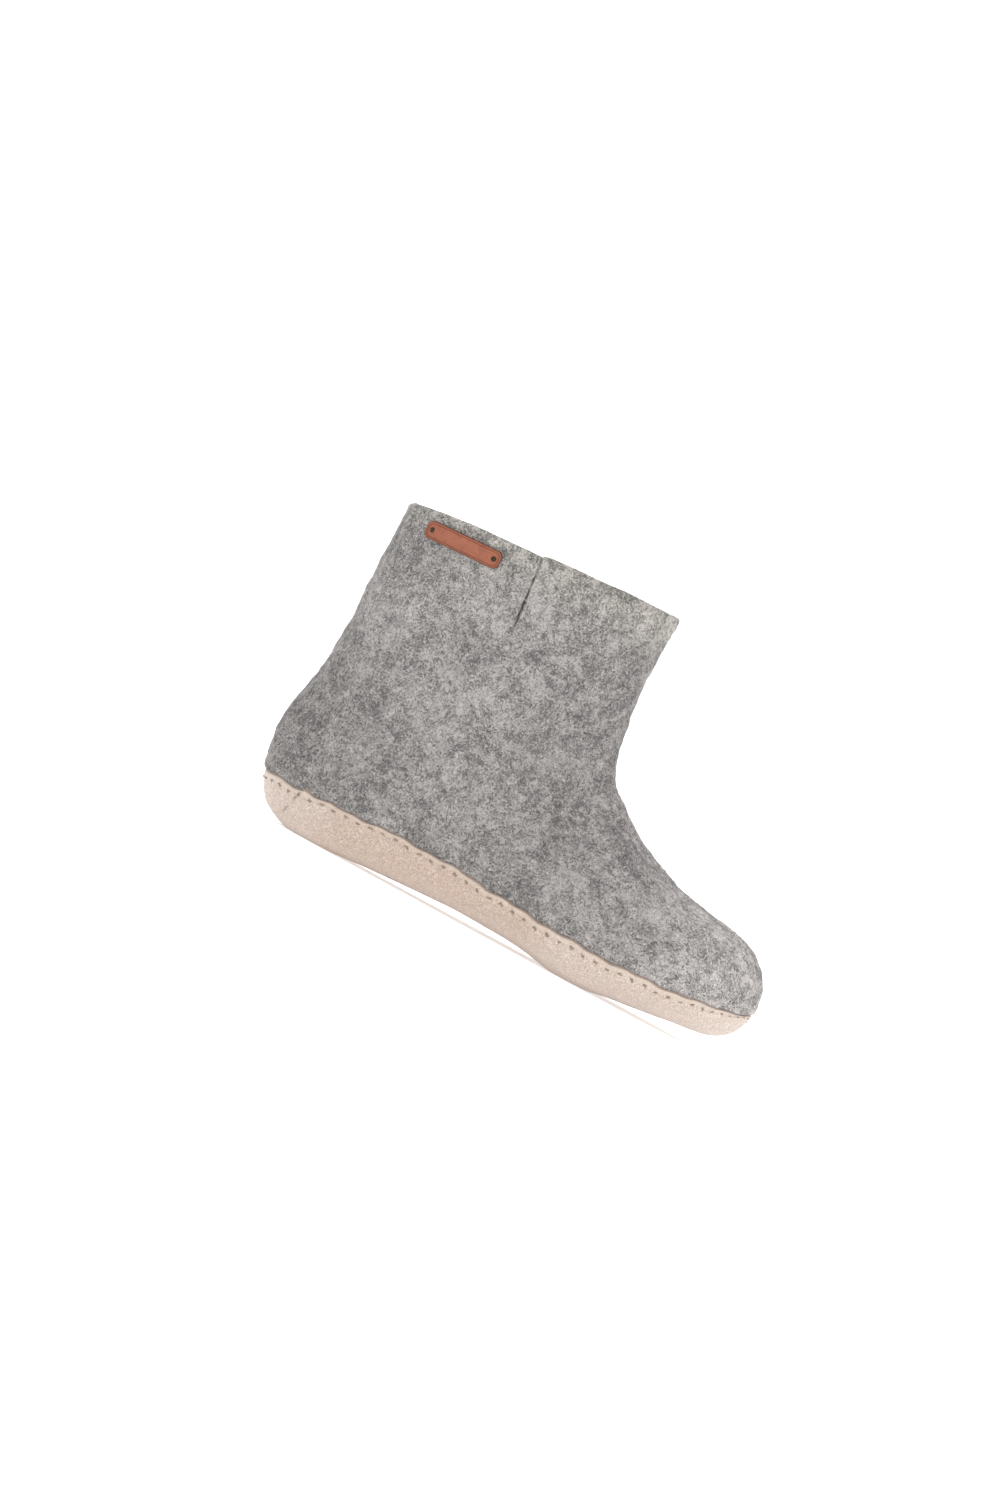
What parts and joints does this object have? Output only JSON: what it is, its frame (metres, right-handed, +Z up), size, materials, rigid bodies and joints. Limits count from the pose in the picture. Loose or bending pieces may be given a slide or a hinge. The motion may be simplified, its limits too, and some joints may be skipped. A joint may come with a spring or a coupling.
{
  "type": "wool boot",
  "caption": "Grey wool felt ankle boot for the right foot, with a beige suede sole stitched on round the edge, a short slit in the collar and a bare leather tag.",
  "frame": {"origin": "middle of the boot's outline, on the ground it stands on", "axes": "+X towards the toe, +Y towards the inner side of the foot, +Z up"},
  "size_m": [0.2664, 0.1008, 0.1776],
  "materials": {
    "felt": "matt felted wool, mottled warm grey",
    "suede": "napped beige suede",
    "insole_felt": "matt felted wool",
    "tag_leather": "smooth reddish brown leather, burnished edge",
    "rivet_bronze": "darkened"
  },
  "bodies": {
    "root": {"upper": "felt", "outsole": "suede", "insole": "insole_felt", "tag": "tag_leather", "rivet_rear": "rivet_bronze", "rivet_front": "rivet_bronze"}
  },
  "joints": []
}
